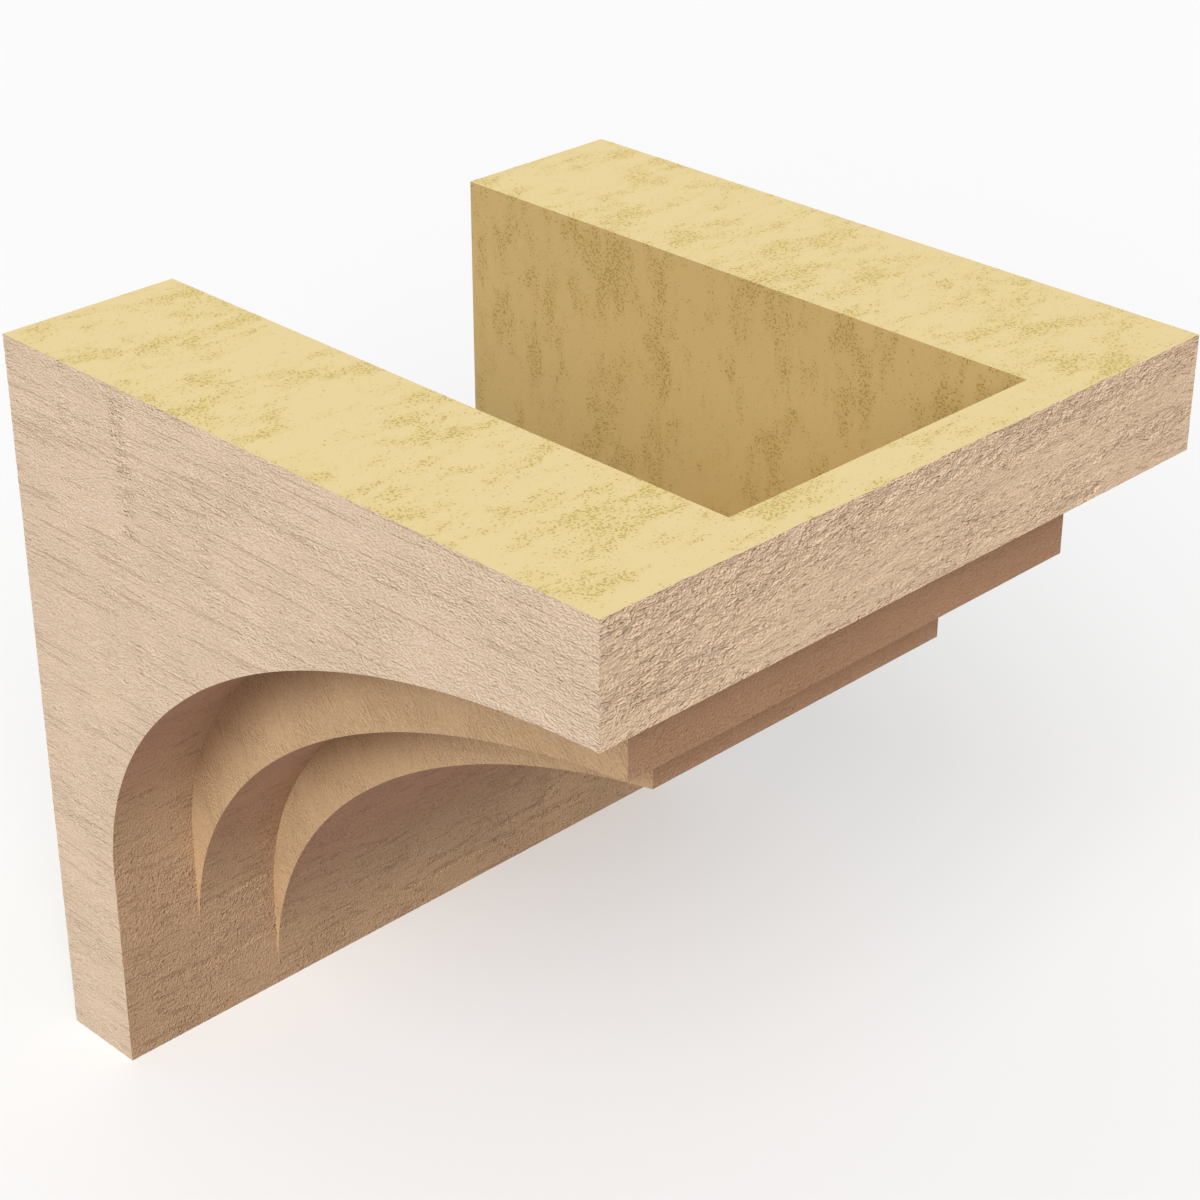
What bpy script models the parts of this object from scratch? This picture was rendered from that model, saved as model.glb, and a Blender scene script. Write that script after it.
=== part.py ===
"""A stepped corbel, moulded in one piece of rigid foam with a rough sawn wood face.

Seen from the front it is three blocks, each narrower, further back and lower than the one
before, and each hollowed below by a cove that runs down to an upright foot on the wall.
A hollow, open at the top and towards the wall, follows the first two steps of the front inside.

Frame: +X to the right of someone who faces the corbel's front with the wall behind it,
-Y out of the wall, +Z up. The wall is the plane y = 0. The origin is on the wall face, on
the centre line, half way up the solid foot below the hollow.
"""

from collections import namedtuple
from math import acos, cos, hypot, pi, sin, sqrt

import bmesh
import bpy

INCH = 0.0254

# Driving dimensions
WIDTH = 12.0 * INCH
DEPTH = 12.0 * INCH
HEIGHT = 12.0 * INCH
FOOT_THICKNESS = 1.5 * INCH
ARM_WIDTH = 3.0 * INCH
FRONT_THICKNESS = 0.75 * INCH
FLOOR_THICKNESS = 0.625 * INCH
HOLLOW_DEPTH = 8.0 * INCH

# Each block: how far it stands in from the sides and from the front, how far its front face
# and the springing of its cove lie below the top, and how far the cove reaches out level
Block = namedtuple("Block", "side_inset front_inset lip_drop spring_drop cove_reach")
BLOCKS = (
    Block(0.0 * INCH, 0.0 * INCH, 1.8 * INCH, 8.5 * INCH, 11.0 * INCH),
    Block(1.5 * INCH, 1.0 * INCH, 3.3 * INCH, 10.3 * INCH, 11.7 * INCH),
    Block(3.0 * INCH, 2.0 * INCH, 4.5 * INCH, 11.8 * INCH, 12.35 * INCH),
)
COVE_STEPS = 48
HOLLOW_STEPS = 32

# Places that follow from them
BOTTOM = -(HEIGHT - HOLLOW_DEPTH) / 2
TOP = BOTTOM + HEIGHT
FRONT = -DEPTH
FOOT_FACE = -FOOT_THICKNESS
HOLLOW_FLOOR = TOP - HOLLOW_DEPTH
OVERRUN = 0.5 * INCH

FOAM_COLOUR = (0.60, 0.42, 0.26, 1.0)
FOAM_ROUGHNESS = 0.85


class Cove:
    """The quarter ellipse under one block, level with the wall plane's foot at its springing."""

    def __init__(self, block):
        self.reach = block.cove_reach
        self.centre_y = FOOT_FACE - block.cove_reach
        self.centre_z = TOP - block.spring_drop
        self.front_angle = acos((FRONT + block.front_inset - self.centre_y) / self.reach)
        self.rise = (block.spring_drop - block.lip_drop) / sin(self.front_angle)

    def point(self, angle, offset=0.0):
        """The point at this angle up from the springing, moved into the foam by offset."""
        normal_y = cos(angle) / self.reach
        normal_z = sin(angle) / self.rise
        scale = offset / hypot(normal_y, normal_z)
        y = self.centre_y + self.reach * cos(angle) + normal_y * scale
        z = self.centre_z + self.rise * sin(angle) + normal_z * scale
        return y, z

    def run(self, first_angle, last_angle, steps, offset=0.0):
        """Points from the first angle to the last, both included."""
        stride = (last_angle - first_angle) / steps
        return [self.point(first_angle + stride * i, offset) for i in range(steps + 1)]

    def angle_where(self, axis, value, offset):
        """The angle at which the offset cove's y (axis 0) or z (axis 1) takes a value."""
        low = 0.0
        high = pi / 2
        rises = self.point(high, offset)[axis] > self.point(low, offset)[axis]
        for _ in range(50):
            middle = (low + high) / 2
            if (self.point(middle, offset)[axis] < value) == rises:
                low = middle
            else:
                high = middle
        return (low + high) / 2


def block_outline(block, top, back, bottom):
    """Side view of a block, from the top of its front face down the cove to its foot."""
    cove = Cove(block)
    front = FRONT + block.front_inset
    outline = [(back, top), (front, top)]
    outline += cove.run(cove.front_angle, 0.0, COVE_STEPS)
    if bottom < outline[-1][1]:
        outline.append((FOOT_FACE, bottom))
    outline.append((back, bottom))
    return outline


def hollow_outline():
    """Side view of the hollow: behind the first two front faces, then above the second cove."""
    outer, middle = BLOCKS[:2]
    outer_back = FRONT + outer.front_inset + FRONT_THICKNESS
    middle_back = FRONT + middle.front_inset + FRONT_THICKNESS
    ledge = TOP - outer.lip_drop + FRONT_THICKNESS
    outline = [(OVERRUN, TOP + OVERRUN), (outer_back, TOP + OVERRUN)]
    outline += [(outer_back, ledge), (middle_back, ledge)]
    cove = Cove(middle)
    first_angle = cove.angle_where(0, middle_back, FLOOR_THICKNESS)
    last_angle = cove.angle_where(1, HOLLOW_FLOOR, FLOOR_THICKNESS)
    outline += cove.run(first_angle, last_angle, HOLLOW_STEPS, FLOOR_THICKNESS)
    outline.append((OVERRUN, HOLLOW_FLOOR))
    return outline


def new_collection(name):
    collection = bpy.data.collections.new(name)
    bpy.context.scene.collection.children.link(collection)
    return collection


def slab_from_outline(name, outline, width, collection):
    """A side-view outline made into a solid of this width, centred on the plane x = 0."""
    curve = bpy.data.curves.new(name, "CURVE")
    curve.dimensions = "2D"
    curve.fill_mode = "BOTH"
    curve.extrude = width / 2
    spline = curve.splines.new("POLY")
    spline.points.add(len(outline) - 1)
    for point, (y, z) in zip(spline.points, outline):
        point.co = (y, z, 0.0, 1.0)
    spline.use_cyclic_u = True
    drawn = bpy.data.objects.new(name + "_outline", curve)
    bpy.context.scene.collection.objects.link(drawn)
    drawn.rotation_euler = (pi / 2, 0.0, pi / 2)
    bpy.context.view_layer.update()

    evaluated = drawn.evaluated_get(bpy.context.evaluated_depsgraph_get())
    mesh = bpy.data.meshes.new_from_object(evaluated)
    mesh.transform(drawn.matrix_world)
    welded = bmesh.new()
    welded.from_mesh(mesh)
    bmesh.ops.remove_doubles(welded, verts=welded.verts, dist=0.00001)
    bmesh.ops.recalc_face_normals(welded, faces=welded.faces)
    welded.to_mesh(mesh)
    welded.free()
    bpy.data.objects.remove(drawn)

    slab = bpy.data.objects.new(name, mesh)
    collection.objects.link(slab)
    return slab


def hide_as_guide(guide):
    guide.hide_render = True
    guide.display_type = "WIRE"


def combine(target, other, operation):
    modifier = target.modifiers.new(other.name, "BOOLEAN")
    modifier.operation = operation
    modifier.solver = "EXACT"
    modifier.object = other


def foam_material():
    material = bpy.data.materials.new("sawn_wood_foam")
    material.use_nodes = True
    shader = material.node_tree.nodes["Principled BSDF"]
    shader.inputs["Base Color"].default_value = FOAM_COLOUR
    shader.inputs["Roughness"].default_value = FOAM_ROUGHNESS
    shader.inputs["Metallic"].default_value = 0.0
    return material


def build_corbel(parts, guides):
    """The outer block with its foot, the two inner blocks joined on, the hollow taken out."""
    outer = block_outline(BLOCKS[0], TOP, 0.0, BOTTOM)
    corbel = slab_from_outline("corbel", outer, WIDTH, parts)

    # The inner blocks start inside the outer one, so that no two faces lie on each other
    buried_top = TOP - BLOCKS[0].lip_drop / 2
    buried_back = FOOT_FACE / 2
    for number, block in enumerate(BLOCKS[1:], start=2):
        outline = block_outline(block, buried_top, buried_back, TOP - block.spring_drop)
        width = WIDTH - 2 * block.side_inset
        inner = slab_from_outline(f"block_{number}", outline, width, guides)
        hide_as_guide(inner)
        combine(corbel, inner, "UNION")

    hollow = slab_from_outline("hollow", hollow_outline(), WIDTH - 2 * ARM_WIDTH, guides)
    hide_as_guide(hollow)
    combine(corbel, hollow, "DIFFERENCE")

    corbel.data.materials.append(foam_material())
    return corbel


for old in list(bpy.data.objects):
    bpy.data.objects.remove(old)

build_corbel(new_collection("stepped_corbel"), new_collection("guides"))
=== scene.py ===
from collections import namedtuple
from math import acos, cos, radians, sin

import bmesh
import bpy
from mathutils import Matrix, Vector, kdtree, noise


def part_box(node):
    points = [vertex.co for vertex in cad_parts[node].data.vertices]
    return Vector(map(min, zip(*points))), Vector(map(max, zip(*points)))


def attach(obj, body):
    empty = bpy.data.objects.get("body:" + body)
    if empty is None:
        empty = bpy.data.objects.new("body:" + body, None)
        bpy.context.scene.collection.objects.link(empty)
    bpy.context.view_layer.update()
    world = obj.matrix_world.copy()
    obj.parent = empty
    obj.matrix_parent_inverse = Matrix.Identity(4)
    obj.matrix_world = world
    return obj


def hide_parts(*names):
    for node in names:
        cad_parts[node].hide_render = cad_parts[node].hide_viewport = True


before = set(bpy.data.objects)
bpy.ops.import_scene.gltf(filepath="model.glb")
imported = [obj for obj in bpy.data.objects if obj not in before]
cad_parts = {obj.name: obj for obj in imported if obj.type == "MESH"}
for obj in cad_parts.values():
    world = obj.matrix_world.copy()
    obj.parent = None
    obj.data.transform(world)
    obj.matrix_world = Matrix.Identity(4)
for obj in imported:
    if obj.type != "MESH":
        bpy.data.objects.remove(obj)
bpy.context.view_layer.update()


# The casting: a corbel moulded in one piece of rigid foam. Seen from the front it is three
# blocks, each narrower, further back and lower than the one before, with a cove under each that
# runs down to an upright foot. A hollow, open above and behind, keeps the walls even.
INCH = 0.0254
low, high = (Vector(corner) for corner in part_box("corbel"))
HALF_WIDTH = (high.x - low.x) / 2
FRONT, WALL = low.y, high.y
BOTTOM, TOP = low.z, high.z
FOOT_FACE = WALL - 1.5 * INCH
ARM_WIDTH = 3.0 * INCH
FRONT_THICKNESS = 0.75 * INCH
FLOOR_THICKNESS = 0.625 * INCH
HOLLOW_FLOOR = TOP - 8.0 * INCH

# Each block: how far it stands in from the sides and from the front, how far its front face
# and the springing of its cove lie below the top, and how far the cove reaches out level
Block = namedtuple("Block", "side_inset front_inset lip_drop spring_drop cove_reach")
OUTER = Block(0.0 * INCH, 0.0 * INCH, 1.8 * INCH, 8.5 * INCH, 11.0 * INCH)
MIDDLE = Block(1.5 * INCH, 1.0 * INCH, 3.3 * INCH, 10.3 * INCH, 11.7 * INCH)
INNER = Block(3.0 * INCH, 2.0 * INCH, 4.5 * INCH, 11.8 * INCH, 12.35 * INCH)
COVE_STEPS = 220
FOOT_STEPS = 60
HOLLOW_STEPS = 48


def side_point(y, z):
    """A point of a side view."""
    return Vector((0.0, y, z))


def cove_line(block, steps, offset=0.0):
    """The quarter ellipse under a block, from its front face down to its springing on the foot.

    It is moved into the foam by offset.
    """
    front_angle = acos((FRONT + block.front_inset - FOOT_FACE) / block.cove_reach + 1.0)
    rise = (block.spring_drop - block.lip_drop) / sin(front_angle)
    centre = side_point(FOOT_FACE - block.cove_reach, TOP - block.spring_drop)
    line = []
    for i in range(steps + 1):
        angle = front_angle * (1 - i / steps)
        inward = side_point(cos(angle) / block.cove_reach, sin(angle) / rise).normalized()
        arm = side_point(block.cove_reach * cos(angle), rise * sin(angle))
        line.append(centre + arm + inward * offset)
    return line


def slab(name, outline, half_width):
    """A side view drawn at one cheek and extruded across to the other."""
    bm = bmesh.new()
    drawn = bm.faces.new([bm.verts.new((-half_width, point.y, point.z)) for point in outline])
    grown = bmesh.ops.extrude_face_region(bm, geom=[drawn])["geom"]
    far_side = [item for item in grown if isinstance(item, bmesh.types.BMVert)]
    bmesh.ops.translate(bm, verts=far_side, vec=(2 * half_width, 0.0, 0.0))
    bmesh.ops.recalc_face_normals(bm, faces=bm.faces)
    mesh = bpy.data.meshes.new(name)
    bm.to_mesh(mesh)
    bm.free()
    made = bpy.data.objects.new(name, mesh)
    bpy.context.scene.collection.objects.link(made)
    return made


springing = TOP - OUTER.spring_drop
outer_outline = [side_point(WALL, TOP), side_point(FRONT, TOP)]
outer_outline += cove_line(OUTER, COVE_STEPS)
for i in range(1, FOOT_STEPS + 1):
    level = springing + (BOTTOM - springing) * i / FOOT_STEPS
    outer_outline.append(side_point(FOOT_FACE, level))
outer_outline.append(side_point(WALL, BOTTOM))
casting = slab("outer_block", outer_outline, HALF_WIDTH)

# The inner blocks start inside the outer one, so that no two faces lie on each other
buried_top = TOP - OUTER.lip_drop / 2
buried_back = (FOOT_FACE + WALL) / 2
helpers = []
for block in (MIDDLE, INNER):
    outline = [side_point(buried_back, buried_top)]
    outline.append(side_point(FRONT + block.front_inset, buried_top))
    outline += cove_line(block, COVE_STEPS)
    outline.append(side_point(buried_back, TOP - block.spring_drop))
    helpers.append((slab("inner_block", outline, HALF_WIDTH - block.side_inset), "UNION"))

# The hollow steps in behind the outer and the middle front. Its floor follows the middle cove,
# drawn finely to find where it meets the wall in front and the level floor, and then thinned.
ledge = TOP - OUTER.lip_drop + FRONT_THICKNESS
behind_outer = FRONT + FRONT_THICKNESS
behind_middle = behind_outer + MIDDLE.front_inset
overrun = 0.5 * INCH
thinning = 8
floor_line = cove_line(MIDDLE, thinning * HOLLOW_STEPS, FLOOR_THICKNESS)
shown = [point for point in floor_line if point.y > behind_middle and point.z > HOLLOW_FLOOR]
hollow = [
    side_point(WALL + overrun, TOP + overrun),
    side_point(behind_outer, TOP + overrun),
    side_point(behind_outer, ledge),
    side_point(behind_middle, ledge),
    side_point(behind_middle, shown[0].z),
]
hollow += shown[::thinning]
hollow += [side_point(shown[-1].y, HOLLOW_FLOOR), side_point(WALL + overrun, HOLLOW_FLOOR)]
helpers.append((slab("hollow", hollow, HALF_WIDTH - ARM_WIDTH), "DIFFERENCE"))

for helper, operation in helpers:
    join = casting.modifiers.new(helper.name, "BOOLEAN")
    join.operation = operation
    join.solver = "EXACT"
    join.object = helper
depsgraph = bpy.context.evaluated_depsgraph_get()
joined = bpy.data.meshes.new_from_object(casting.evaluated_get(depsgraph))
for helper, _ in helpers:
    bpy.data.objects.remove(helper)
bpy.data.objects.remove(casting)


# The surfaces of the casting. The cheeks, fronts, step sides and coves copy rough sawn wood
# from the mould; the top, the hollow and the wall side are bare foam. The sawn ones are scored
# into a grid, finer across the grain than along it, to carry their relief.
CHEEK, FACE, INNER_FACE, STEP, COVE, BARE, HOLLOW = range(7)
mm = 0.001
coarse = 1

# How far apart the scored lines lie along each axis, with none where it says 0
GRID = {
    CHEEK: Vector((0.0, 2.3, 1.05)) * mm * coarse,
    FACE: Vector((1.35, 0.0, 0.68)) * mm * coarse,
    INNER_FACE: Vector((3.0, 0.0, 2.0)) * mm * coarse,
    STEP: Vector((0.0, 2.0, 2.4)) * mm * coarse,
    COVE: Vector((2.4, 0.0, 0.0)) * mm * coarse,
    BARE: Vector((9.0, 9.0, 9.0)) * mm,
    HOLLOW: Vector((12.0, 12.0, 12.0)) * mm,
}
close = 0.01 * mm

# The least share of a normal along an axis, for a face that looks that way, for one that lies
# flat to it, as the fronts do and the coves don't, and for the hollow's curved floor
LOOKS, FLAT, RISES = 0.9, 0.999, 0.1


def finish_of(face):
    """Which finish a face of the casting has, from where it is and which way it looks."""
    middle = face.calc_center_median()
    out = face.normal
    between_arms = abs(middle.x) < HALF_WIDTH - ARM_WIDTH + close and middle.y < WALL - close
    if between_arms and HOLLOW_FLOOR - close < middle.z < TOP - close:
        if out.z > RISES or out.y > LOOKS or out.x * middle.x < 0:
            return HOLLOW
    if out.z > LOOKS or out.y > LOOKS:
        return BARE
    if abs(out.x) > LOOKS:
        return CHEEK if abs(middle.x) > HALF_WIDTH - close else STEP
    if out.y < -FLAT and abs(middle.y - FRONT) < close:
        return FACE
    for block in (MIDDLE, INNER):
        if out.y < -FLAT and abs(middle.y - FRONT - block.front_inset) < close:
            return INNER_FACE
    return COVE


def score(bm, faces, axis, levels):
    """Cut the faces by planes across one axis, the middle plane first, then each side."""
    if not levels or not faces:
        return
    middle = len(levels) // 2
    corners = {corner for face in faces for corner in face.verts}
    edges = {edge for face in faces for edge in face.edges}
    normal = Vector((0.0, 0.0, 0.0))
    normal[axis] = 1.0
    cut = bmesh.ops.bisect_plane(
        bm,
        geom=list(faces) + list(edges) + list(corners),
        dist=close,
        plane_co=normal * levels[middle],
        plane_no=normal,
    )
    below, above = [], []
    for item in cut["geom"]:
        if isinstance(item, bmesh.types.BMFace):
            under = item.calc_center_bounds()[axis] < levels[middle]
            (below if under else above).append(item)
    score(bm, below, axis, levels[:middle])
    score(bm, above, axis, levels[middle + 1:])


bm = bmesh.new()
bm.from_mesh(joined)
bmesh.ops.remove_doubles(bm, verts=bm.verts, dist=close / 10)
for face in bm.faces:
    face.material_index = finish_of(face)
for finish, spacing in GRID.items():
    for axis in (2, 1, 0):
        if not spacing[axis]:
            continue
        count = round((high[axis] - low[axis]) / spacing[axis])
        stride = (high[axis] - low[axis]) / count
        levels = [low[axis] + stride * i for i in range(1, count)]
        score(bm, [face for face in bm.faces if face.material_index == finish], axis, levels)

CREASE = radians(20)
for face in bm.faces:
    face.smooth = True
for edge in bm.edges:
    if len(edge.link_faces) == 2:
        edge.smooth = edge.calc_face_angle() < CREASE

# Each face corner keeps how much shade is painted there, in the inner corners between the
# blocks and where a cove turns over to face down, and how thick the torn marks lie, both 0 to 1
painted_shade_layer = bm.loops.layers.float.new("painted_shade")
torn_marks = bm.loops.layers.float.new("torn")
inner_corners = [
    edge for edge in bm.edges
    if not edge.smooth and edge.calc_face_angle_signed(0.0) < -CREASE
    and all(face.material_index in (STEP, COVE, INNER_FACE) for face in edge.link_faces)
]
corner_places = kdtree.KDTree(2 * len(inner_corners))
for index, edge in enumerate(inner_corners):
    for number, vertex in enumerate(edge.verts):
        corner_places.insert(vertex.co, 2 * index + number)
corner_places.balance()


def smooth(value, least=0.0, most=1.0):
    value = min(max((value - least) / (most - least), 0.0), 1.0)
    return value * value * (3 - 2 * value)


def grain(along, across, seed, long, wide):
    """Noise that is long in one direction; -1 to 1. Sizes and places in millimetres."""
    return noise.noise(Vector((along / long, across / wide, seed)))


def crisp(value, hardness):
    """Noise pushed towards flat tops and flat bottoms, with steep sides between."""
    value *= hardness
    return value / (1 + abs(value))


def groove(value, width):
    """1 along the lines where a noise passes through 0, falling to 0 at its sides."""
    return 1 - smooth(abs(value) / width)


# Each relief gives the height in millimetres and how thick the torn marks lie
def face_relief(x, y, z):
    """The front: coarse short ledges along the width in rough patches, and broken grooves."""
    ledge_height, swell_height, groove_depth = 0.3, 0.22, 0.25
    edge_band_starts, edge_band_full = 238, 247
    flow = 2.6 * grain(x, z, 3.1, 34, 17) + 0.9 * grain(x, z, 4.7, 9, 6)
    level = z + flow
    rough = smooth(grain(x, level, 8.3, 42, 10) + 0.35 * grain(x, z, 1.9, 14, 9), -0.35, 0.4)
    rough = max(rough, smooth(z, edge_band_starts, edge_band_full))
    ledges = grain(x, level, 12.4, 3.8, 1.8) + 0.5 * grain(x, level + 40, 15.9, 2.4, 1.4)
    ledges = crisp(ledges, 4.0)
    broken = smooth(grain(x, level, 2.9, 8, 5), -0.1, 0.3)
    grooves = broken * groove(grain(x, level, 31.7, 18, 4.2), 0.17)
    swell = grain(x, level, 21.2, 26, 4.6)
    height = rough * ledge_height * ledges + swell_height * swell - groove_depth * grooves
    return height, 0.25 + 0.75 * rough


# Where the saw chattered: depth place, height and reach up and down, half width, strength. A row
# is at full strength up to its core, counted in half widths, and to this share of its reach.
CHATTER = (
    (-68, 222, 36, 4.2, 1.0),
    (-36, 238, 20, 4, 0.6),
    (-112, 212, 30, 5, 0.6),
    (-52, 168, 16, 4, 0.6),
    (-30, 60, 60, 4, 0.4),
    (-160, 190, 40, 6, 0.4),
)
CHATTER_CORE, CHATTER_EDGE = 0.6, 1.6
CHATTER_FULL_REACH = 0.7


def cheek_relief(x, y, z):
    """Cheeks: long grooves along the depth, and upright rows of chatter marks from the saw."""
    stroke_height, swell_height, groove_depth, chatter_height = 0.14, 0.08, 0.06, 0.75
    front_band_starts, front_band_full = 200, 275
    side = 31.0 if x > 0 else 0.0
    level = z + grain(y, z, 5.3 + side, 70, 24)
    rough = smooth(grain(y, level, 9.2 + side, 55, 12), -0.3, 0.5)
    rough = max(rough, 0.55 * smooth(-y, front_band_starts, front_band_full))
    strokes = grain(y, level, 2.6 + side, 8, 2.2) + 0.6 * grain(y, level, 6.4 + side, 5, 2.0)
    strokes = crisp(strokes, 3.5)
    broken = smooth(grain(y, level, 12.5 + side, 14, 6), -0.15, 0.25)
    grooves = broken * groove(grain(y, level, 33.1 + side, 120, 4.6), 0.18)
    swell = grain(y, level, 4.4 + side, 45, 6.5)
    height = rough * stroke_height * strokes + swell_height * swell - groove_depth * grooves
    torn = 0.25 + 0.5 * rough + 0.2 * grooves
    for depth_place, height_place, reach, half_width, strength in CHATTER:
        wander = 3.0 * grain(z, 0, 7.7 + depth_place, 40, 40)
        off = abs(y - depth_place - wander) / half_width
        away = abs(z - height_place) / reach
        if off < CHATTER_EDGE and away < 1:
            here = 1 - smooth(off, CHATTER_CORE, CHATTER_EDGE)
            here *= 1 - smooth(away, CHATTER_FULL_REACH, 1.0)
            here *= strength
            here *= smooth(grain(0, level, 41.0 + depth_place, 5, 5), -0.25, 0.05)
            marks = crisp(grain(y, level, 18.1 + side, 3.2, 1.5), 5)
            height += here * chatter_height * marks
            torn = max(torn, 1.4 * here)
    return height, torn


def inner_face_relief(x, y, z):
    """The fronts of the inner blocks: nearly smooth."""
    ripple_height = 0.08
    level = z + 1.5 * grain(x, z, 3.9, 20, 12)
    return ripple_height * grain(x, level, 11.3, 14, 3.5), 0.4


def step_relief(x, y, z):
    """Step sides: nearly smooth, with faint waves that lean as they rise."""
    wave_height, swell_height = 0.15, 0.12
    lean = y - 0.45 * z + 4.0 * grain(y, z, 2.2 + x, 24, 24)
    waves = grain(z, lean, 7.1 + x, 24, 4.6)
    swell = grain(y, z, 5.5 + x, 18, 18)
    torn = smooth(grain(y, z, 3.5 + x, 22, 16), -0.4, 0.4)
    return wave_height * waves + swell_height * swell, torn


# Cracks along the foot and the coves: height, start and end along the width, depth. Each side
# of a crack slopes for so many millimetres, and the marks beside it fade out by the second one.
CRACKS = (
    (-36.8, -6, 60, 0.7),
    (-36.2, 66, 106, 0.6),
    (-29.5, 2, 88, 0.5),
    (6.0, -126, -44, 0.5),
    (-22.0, -140, -66, 0.5),
)
CRACK_SLOPE, CRACK_MARKS = 1.6, 3.0


def cove_relief(x, y, z):
    """Coves and the foot's front: a coarse weave of short marks, fading as the cove turns over."""
    cross_height, stroke_height, swell_height = 0.16, 0.2, 0.16
    fading_starts, fading_ends = 20, 120
    sway = 2.0 * grain(x, z, 6.6, 22, 22)
    fading = 1 - 0.8 * smooth(z, fading_starts, fading_ends)
    rough = smooth(grain(x, z, 4.1, 34, 20), -0.4, 0.4) * fading
    cross = crisp(grain(x, z + sway, 9.9, 12, 2.6), 3.0)
    strokes = crisp(grain(x + sway + 0.3 * z, z, 13.7, 3.4, 5.0), 3.0)
    swell = grain(x, z, 17.7, 30, 12)
    height = rough * (cross_height * cross + stroke_height * strokes) + swell_height * swell
    torn = (0.45 + 0.5 * rough) * fading
    for level, start, end, depth in CRACKS:
        off = abs(z - level - 1.4 * grain(x, level, 5.9, 14, 14))
        if off < CRACK_MARKS and start < x < end:
            broken = smooth(grain(x, 0, level, 7, 7), -0.4, 0.1)
            height -= depth * broken * (1 - smooth(off, 0.0, CRACK_SLOPE))
            torn = max(torn, 1.2 * broken * (1 - smooth(off, 1.2, CRACK_MARKS)))
    return height, torn


RELIEFS = {
    FACE: face_relief,
    INNER_FACE: inner_face_relief,
    CHEEK: cheek_relief,
    STEP: step_relief,
    COVE: cove_relief,
}
SMOOTH_CUT = {BARE, HOLLOW}

# How far a vertex may sit from an arris before the relief is at full height there, and how much
# of it the cheeks and the front keep right at the arris
MELLOW, STEP_MELLOW = 2.2 * mm, 6.0 * mm
ARRIS_SHARE = 0.25

# Painted shade reaches this far out of an inner corner, from none at the first height, in
# millimetres, to all of it at the second. A cove gets its painted shade between these two shares
# of a normal that look down.
PAINTED_SHADE_REACH = 27.0 * mm
PAINTED_SHADE_HEIGHTS = (20, 110)
PAINTED_SHADE_OVERHANG = (0.05, 0.7)

arrises = []
for vertex in bm.verts:
    kinds = {face.material_index for face in vertex.link_faces}
    bent = any(not edge.smooth for edge in vertex.link_edges)
    if len(kinds - SMOOTH_CUT) > 1 or (bent and not kinds & SMOOTH_CUT):
        arrises.append(vertex.co.copy())
near_arris = kdtree.KDTree(len(arrises))
for index, place in enumerate(arrises):
    near_arris.insert(place, index)
near_arris.balance()

shifts = []
for vertex in bm.verts:
    shift = Vector((0.0, 0.0, 0.0))
    place = vertex.co / mm
    kinds = {face.material_index for face in vertex.link_faces}
    torn_here = {}
    for kind in kinds & set(RELIEFS):
        normals = [face.normal for face in vertex.link_faces if face.material_index == kind]
        out = sum(normals, Vector((0.0, 0.0, 0.0))).normalized()
        height, torn_here[kind] = RELIEFS[kind](*place)
        shift += out * height * mm
    # Painted shade: darker near inner corners on steps and inner fronts, browner where a cove faces
    # down
    nearness = max(0.0, 1 - corner_places.find(vertex.co)[2] / PAINTED_SHADE_REACH)
    nearness *= smooth(place.z, *PAINTED_SHADE_HEIGHTS)
    for corner in vertex.link_loops:
        kind = corner.face.material_index
        corner[torn_marks] = torn_here.get(kind, 0.0)
        if kind in (STEP, INNER_FACE):
            corner[painted_shade_layer] = nearness
        if kind == COVE:
            overhang = smooth(-corner.face.normal.z, *PAINTED_SHADE_OVERHANG)
            corner[painted_shade_layer] = (0.9 - 0.5 * nearness) * overhang
    distance = near_arris.find(vertex.co)[2]
    rise = smooth(distance / (STEP_MELLOW if STEP in kinds else MELLOW))
    kept = ARRIS_SHARE if kinds & {CHEEK, FACE} else 0.0
    shifts.append(shift * (kept + (1 - kept) * rise))
for vertex, shift in zip(bm.verts, shifts):
    if abs(vertex.co.y - WALL) < close:
        shift.y = 0.0
    if abs(vertex.co.z - TOP) < close or abs(vertex.co.z - BOTTOM) < close:
        shift.z = 0.0
    vertex.co += shift

corbel_mesh = bpy.data.meshes.new("corbel_casting")
bm.to_mesh(corbel_mesh)
bm.free()
corbel = bpy.data.objects.new("corbel_casting", corbel_mesh)
bpy.context.scene.collection.objects.link(corbel)


# The finishes. The skin of the casting is tan where it copies sawn wood, browner in the coves,
# on the steps and inner fronts, partly as painted shade, and darker in its grooves and pits as
# painted shade. Bare foam is yellow, flecked with open cells, and darker in the hollow as painted
# shade.
SKIN_ROUGHNESS, BARE_ROUGHNESS = 0.85, 0.8
SHINE = 0.2
METRE = 1000.0

# A Mix node's sockets for colours: its amount, its two colours and its result
MIX_AMOUNT, MIX_FIRST, MIX_SECOND, MIX_RESULT = 0, 6, 7, 2


def add_node(tree, kind, inputs=None, **settings):
    made = tree.nodes.new("ShaderNode" + kind)
    for name, value in settings.items():
        setattr(made, name, value)
    for socket, source in (inputs or {}).items():
        if isinstance(source, bpy.types.NodeSocket):
            tree.links.new(source, made.inputs[socket])
        else:
            made.inputs[socket].default_value = source
    return made


def blank_finish(name, roughness):
    material = bpy.data.materials.new(name)
    material.use_nodes = True
    shader = material.node_tree.nodes["Principled BSDF"]
    shader.inputs["Roughness"].default_value = roughness
    shader.inputs["Specular IOR Level"].default_value = SHINE
    place = material.node_tree.nodes.new("ShaderNodeTexCoord").outputs["Object"]
    return material, material.node_tree, shader, place


def put_on(tree, shader, colour, height, depth):
    """Join the colour to the shader, and fine relief as deep as depth for a height of 1."""
    bump = add_node(tree, "Bump", {"Strength": 1.0, "Distance": depth, "Height": height})
    tree.links.new(colour, shader.inputs["Base Color"])
    tree.links.new(bump.outputs[0], shader.inputs["Normal"])


def attribute(tree, name):
    return add_node(tree, "Attribute", attribute_name=name).outputs["Fac"]


def math(tree, operation, first, second=0.0, third=0.0):
    return add_node(tree, "Math", {0: first, 1: second, 2: third}, operation=operation).outputs[0]


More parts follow.
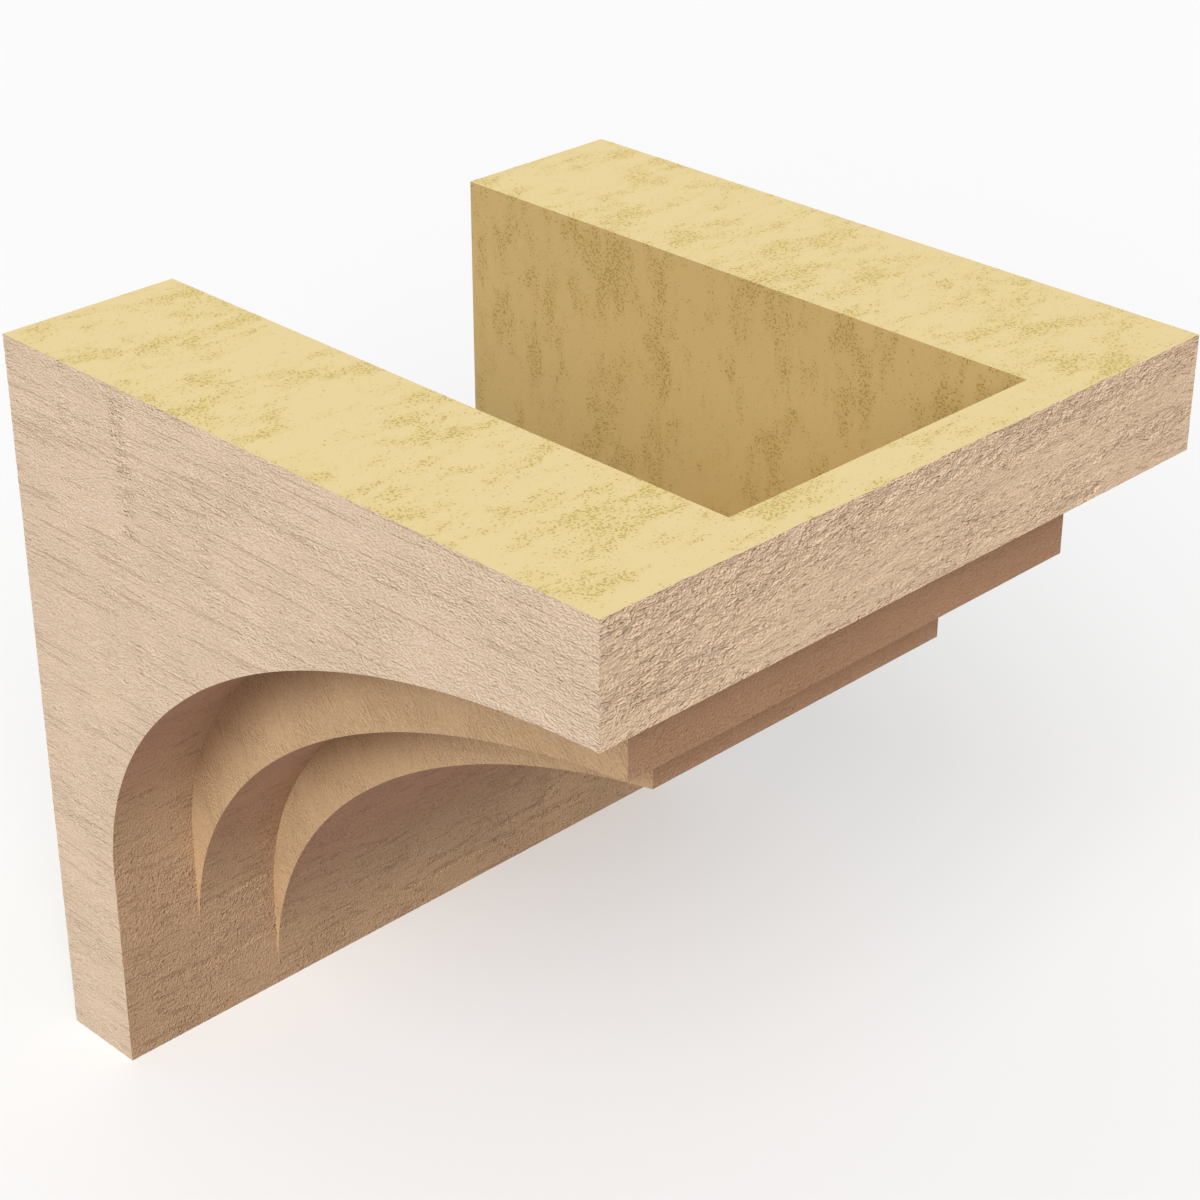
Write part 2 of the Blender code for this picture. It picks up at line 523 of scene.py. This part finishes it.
def stretched(tree, place, lengths, detail=2.0, roughness=0.5, start=0.0):
    """Noise with its own length along each axis, in millimetres."""
    inputs = {
        "Vector": place,
        "Location": (start, start, start),
        "Scale": tuple(METRE / length for length in lengths),
    }
    mapped = add_node(tree, "Mapping", inputs).outputs[0]
    inputs = {"Vector": mapped, "Scale": 1.0, "Detail": detail, "Roughness": roughness}
    return add_node(tree, "TexNoise", inputs).outputs["Fac"]


def ease(tree, value, least, most, low_end=0.0, high_end=1.0):
    inputs = {
        "Value": value,
        "From Min": least,
        "From Max": most,
        "To Min": low_end,
        "To Max": high_end,
    }
    return add_node(tree, "MapRange", inputs, interpolation_type="SMOOTHSTEP").outputs[0]


def blend_colour(tree, amount, first, second, blend_type="MIX"):
    inputs = {MIX_AMOUNT: amount, MIX_FIRST: first, MIX_SECOND: second}
    made = add_node(tree, "Mix", inputs, data_type="RGBA", blend_type=blend_type)
    return made.outputs[MIX_RESULT]


def pinholes(tree, place, share):
    """Round pits where air sat against the mould: 1 in a pit, 0 outside. Sizes in millimetres."""
    spacing, radius = 14.0, 1.0
    cells = add_node(tree, "TexVoronoi", {"Vector": place, "Scale": METRE / spacing})
    lot = add_node(tree, "SeparateColor", {0: cells.outputs["Color"]}).outputs[0]
    chosen = math(tree, "LESS_THAN", lot, share)
    rim = radius / spacing
    inside = ease(tree, cells.outputs["Distance"], rim * 0.5, rim, 1.0, 0.0)
    return math(tree, "MULTIPLY", chosen, inside)


def creases(tree, place, size):
    """Thin ragged lines where a noise passes through its middle: 1 on a line, 0 beside it."""
    width, raggedness, middle = 0.04, 0.22, 0.61
    smooth_line = stretched(tree, place, size, 1.0, start=9.0)
    ragged = stretched(tree, place, (0.9, 0.9, 0.9), 2.0, 0.6, start=6.0)
    off = math(tree, "SUBTRACT", smooth_line, middle)
    off = math(tree, "MULTIPLY_ADD", ragged, raggedness, off)
    line = ease(tree, math(tree, "ABSOLUTE", off), 0.0, width, 1.0, 0.0)
    pieces = tuple(0.45 * length for length in size)
    broken = ease(tree, stretched(tree, place, pieces, 1.0, start=4.0), 0.50, 0.62)
    return math(tree, "MULTIPLY", line, broken)


def tinted(colour, shares):
    """An opaque colour, with each part of it scaled."""
    return (*(part * share for part, share in zip(colour, shares)), 1.0)


# The skin's own colour is scaled by these for its darker and lighter grains of sand, which also
# paint shade between the grains and light on their tops, and for painted shade in its deep marks
SAND_DARK_AND_SHADE, SAND_LIGHT_AND_HIGHLIGHT, GROOVE_SHADE = (0.94, 0.91, 0.88), (1.06, 1.09, 1.12), (0.88, 0.68, 0.52)
GROOVE_SHADE_STRENGTH = 0.25
# The pinholes' near-black colour is painted shade inside them
PIT_SHADE_COLOUR, PIT_SHADE_STRENGTH, PIT_DEPTH = (0.11, 0.065, 0.04, 1.0), 0.75, 0.5


def sawn_finish(name, skin, painted_shade_colour, torn, grit, lines, patch, sway, lean, pit_share):
    """Skin with sandy grit, torn marks along the grain, thin broken grooves and pinholes.

    Torn marks, grit and lines each give their size along the three axes and their depth, in mm.
    The grain wanders by sway, over patches of the size patch, and leans by so many degrees.
    """
    torn_size, torn_depth = torn
    grit_size, grit_depth = grit
    line_size, line_depth = lines
    material, tree, shader, place = blank_finish(name, SKIN_ROUGHNESS)

    leant = add_node(tree, "Mapping", {"Vector": place, "Rotation": (radians(lean), 0.0, 0.0)})
    bend = math(tree, "MULTIPLY", stretched(tree, place, patch), sway * mm)
    drift = add_node(tree, "CombineXYZ", {1: bend, 2: bend})
    both = {0: leant.outputs[0], 1: drift.outputs[0]}
    bent = add_node(tree, "VectorMath", both, operation="ADD").outputs[0]

    torn_here = attribute(tree, "torn")
    marks = stretched(tree, bent, torn_size, 1.0, start=5.0)
    marks = ease(tree, math(tree, "MULTIPLY_ADD", torn_here, 0.14, marks), 0.70, 0.88)
    sand = stretched(tree, bent, grit_size, 1.0, start=7.0)
    coarseness = math(tree, "MULTIPLY_ADD", torn_here, 0.9, 0.4)
    cut = creases(tree, bent, line_size)
    pits = pinholes(tree, place, pit_share)

    # The sand's own tone, painted lighter on its raised grains and darker between them as light and
    # shade
    light = ease(tree, sand, 0.32, 0.68)
    colour = blend_colour(tree, light, tinted(skin, SAND_DARK_AND_SHADE), tinted(skin, SAND_LIGHT_AND_HIGHLIGHT))
    # Painted shade: the grooves and torn marks are coloured darker and browner
    painted_groove_shade = math(tree, "MULTIPLY", math(tree, "MAXIMUM", cut, marks), GROOVE_SHADE_STRENGTH)
    colour = blend_colour(tree, painted_groove_shade, colour, tinted(skin, GROOVE_SHADE))
    mottle = ease(tree, stretched(tree, place, (30.0, 30.0, 30.0), 3.0), 0.3, 0.7, 0.97, 1.03)
    shade = add_node(tree, "CombineColor", {0: mottle, 1: mottle, 2: mottle}).outputs[0]
    colour = blend_colour(tree, 1.0, colour, shade, "MULTIPLY")
    # Painted shade: the colour is multiplied by a shade colour where the mesh marks shade
    painted_shade_amount = ease(tree, attribute(tree, "painted_shade"), 0.0, 0.9)
    colour = blend_colour(tree, painted_shade_amount, colour, (*painted_shade_colour, 1.0), "MULTIPLY")
    # Painted shade: the pinholes are coloured nearly black
    painted_pit_shade = math(tree, "MULTIPLY", pits, PIT_SHADE_STRENGTH)
    colour = blend_colour(tree, painted_pit_shade, colour, PIT_SHADE_COLOUR)

    holes = math(tree, "MULTIPLY", pits, PIT_DEPTH)
    sunk = math(tree, "ADD", holes, math(tree, "MULTIPLY", cut, line_depth))
    sunk = math(tree, "MULTIPLY_ADD", marks, torn_depth, sunk)
    raised = math(tree, "MULTIPLY", math(tree, "SUBTRACT", sand, 0.5), coarseness)
    height = math(tree, "SUBTRACT", math(tree, "MULTIPLY", raised, grit_depth), sunk)
    put_on(tree, shader, colour, height, mm)
    return material


def bare_finish(name, yellow, stained, olive):
    """Cut foam: its open cells show as flecks, thicker in bands that lie across the depth."""
    cell_depth = 0.15 * mm
    material, tree, shader, place = blank_finish(name, BARE_ROUGHNESS)
    bands = stretched(tree, place, (44.0, 17.0, 44.0), 2.0, 0.6)
    clusters = stretched(tree, place, (15.0, 8.0, 15.0), 3.0, 0.6, start=5.0)
    cells = stretched(tree, place, (1.1, 1.0, 0.9), 1.0, 0.6)
    where = math(tree, "MULTIPLY", math(tree, "ADD", bands, clusters), 0.5)
    density = ease(tree, where, 0.42, 0.62, -0.09, 0.08)
    flecks = ease(tree, math(tree, "ADD", cells, density), 0.62, 0.69)
    clouds = ease(tree, where, 0.44, 0.64, 0.0, 0.7)
    stain = math(tree, "ADD", clouds, math(tree, "MULTIPLY", flecks, 0.3))
    colour = blend_colour(tree, stain, (*yellow, 1.0), (*stained, 1.0))
    colour = blend_colour(tree, math(tree, "MULTIPLY", flecks, 0.6), colour, (*olive, 1.0))
    put_on(tree, shader, colour, math(tree, "SUBTRACT", 1.0, flecks), cell_depth)
    return material


TAN, FRONT_TAN = (0.650, 0.492, 0.354), (0.680, 0.488, 0.332)
# Browner, darker copies of the tan for the steps, coves and inner fronts, partly painted shade
BUFF, BROWN, INNER_BROWN = (0.540, 0.357, 0.201), (0.445, 0.279, 0.164), (0.420, 0.238, 0.139)
# Shade colours painted into the inner corners and onto the coves where they face down
PAINTED_CORNER_SHADE, PAINTED_COVE_SHADE = (0.46, 0.38, 0.36), (1.08, 0.93, 0.98)
YELLOW, STAINED, OLIVE = (0.64, 0.512, 0.258), (0.60, 0.47, 0.185), (0.40, 0.285, 0.055)
# The hollow's foam colours are the top's darkened as painted shade inside the hollow
SHADED_YELLOW, SHADED_STAINED = (0.505, 0.363, 0.149), (0.465, 0.323, 0.115)
SHADED_OLIVE = (0.32, 0.215, 0.055)

# A size along a flat face's own normal, where it doesn't show
THROUGH = 9.0
skins = {
    CHEEK: sawn_finish(
        "cheek_skin", TAN, PAINTED_CORNER_SHADE,
        torn=((THROUGH, 5.0, 1.0), 0.36),
        grit=((0.85, 1.1, 0.7), 0.76),
        lines=((THROUGH, 90, 3.1), 0.24),
        patch=(60, 60, 20), sway=1.5, lean=0.0, pit_share=0.08,
    ),
    FACE: sawn_finish(
        "face_skin", FRONT_TAN, PAINTED_CORNER_SHADE,
        torn=((2.8, THROUGH, 1.1), 0.60),
        grit=((1.2, 0.9, 0.75), 0.78),
        lines=((14, THROUGH, 3.2), 0.35),
        patch=(34, 34, 11), sway=3.0, lean=0.0, pit_share=0.14,
    ),
    INNER_FACE: sawn_finish(
        "inner_face_skin", INNER_BROWN, PAINTED_CORNER_SHADE,
        torn=((3, 7, 1.1), 0.25),
        grit=((0.9, 1.5, 0.75), 0.8),
        lines=((40, THROUGH, 5), 0.08),
        patch=(30, 30, 12), sway=5.0, lean=0.0, pit_share=0.10,
    ),
    STEP: sawn_finish(
        "step_skin", BUFF, PAINTED_CORNER_SHADE,
        torn=((THROUGH, 1.0, 3.6), 0.20),
        grit=((1.0, 0.85, 0.95), 0.5),
        lines=((THROUGH, 3.2, 24), 0.12),
        patch=(24, 24, 24), sway=14.0, lean=30.0, pit_share=0.03,
    ),
    COVE: sawn_finish(
        "cove_skin", BROWN, PAINTED_COVE_SHADE,
        torn=((1.3, 3, 1.8), 0.50),
        grit=((0.85, 1.0, 0.95), 0.86),
        lines=((36, 9, 4.5), 0.3),
        patch=(30, 30, 20), sway=6.0, lean=0.0, pit_share=0.03,
    ),
    BARE: bare_finish("bare_foam", YELLOW, STAINED, OLIVE),
    # The hollow's darker foam colours are painted shade
    HOLLOW: bare_finish("hollow_foam", SHADED_YELLOW, SHADED_STAINED, SHADED_OLIVE),
}
for finish in sorted(skins):
    corbel_mesh.materials.append(skins[finish])
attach(corbel, "root")
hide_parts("corbel")


# The studio: a pale paper floor under the corbel and a plain white room, with a broad soft light
# from above, in front and to the left.
FLOOR_REACH = 20.0
PAPER, WHITE = (0.74, 0.74, 0.74, 1.0), (1.0, 1.0, 1.0, 1.0)
ROOM_LIGHT = 0.45
bm = bmesh.new()
bmesh.ops.create_grid(bm, x_segments=1, y_segments=1, size=FLOOR_REACH)
bmesh.ops.translate(bm, verts=bm.verts, vec=(0.0, 0.0, BOTTOM))
floor_mesh = bpy.data.meshes.new("studio_floor")
bm.to_mesh(floor_mesh)
bm.free()
studio_floor = bpy.data.objects.new("studio_floor", floor_mesh)
bpy.context.scene.collection.objects.link(studio_floor)
paper = bpy.data.materials.new("pale_paper")
paper.use_nodes = True
paper.node_tree.nodes["Principled BSDF"].inputs["Base Color"].default_value = PAPER
paper.node_tree.nodes["Principled BSDF"].inputs["Roughness"].default_value = 1.0
floor_mesh.materials.append(paper)

# The corbel gets no light back from the paper
studio_floor.visible_diffuse = False

world = bpy.data.worlds.new("studio")
bpy.context.scene.world = world
world.use_nodes = True
world.node_tree.nodes["Background"].inputs["Color"].default_value = WHITE
world.node_tree.nodes["Background"].inputs["Strength"].default_value = ROOM_LIGHT

# Each light: its strength, how broad it is in degrees, and the way its rays go. The key alone
# throws a shadow. The relief light, steeper, brings out the grain. The fill reaches the wall
# side and the right cheek.
LIGHTS = (
    ("key", 2.35, 50.0, (0.63, 0.485, -0.606)),
    ("relief_light", 1.45, 3.0, (0.43, 0.32, -0.845)),
    ("back_fill", 0.7, 20.0, (-0.5, -0.86, 0.0)),
)
for name, energy, angle, direction in LIGHTS:
    light = bpy.data.lights.new(name, "SUN")
    light.energy = energy
    light.angle = radians(angle)
    light.use_shadow = name == "key"
    lamp = bpy.data.objects.new(name, light)
    bpy.context.scene.collection.objects.link(lamp)
    lamp.rotation_euler = Vector(direction).to_track_quat("-Z", "Y").to_euler()

bpy.context.scene.view_settings.view_transform = "Standard"


# The camera stands in front of the left corner, as in the photograph, whose own block corners
# gave its place, its direction and its lens.
AIM = Vector((0.0127, -0.1393, 0.1357))
AZIMUTH, ELEVATION = radians(44.887), radians(28.119)
DISTANCE = 1.0834
LENS_MM, SENSOR_MM = 84.26, 36.0
lens = bpy.data.cameras.new("photo_view")
lens.lens = LENS_MM
lens.sensor_width = SENSOR_MM
camera = bpy.data.objects.new("photo_view", lens)
bpy.context.scene.collection.objects.link(camera)
look = Vector((sin(AZIMUTH) * cos(ELEVATION), cos(AZIMUTH) * cos(ELEVATION), -sin(ELEVATION)))
camera.location = AIM - look * DISTANCE
camera.rotation_euler = look.to_track_quat("-Z", "Y").to_euler()
bpy.context.scene.camera = camera
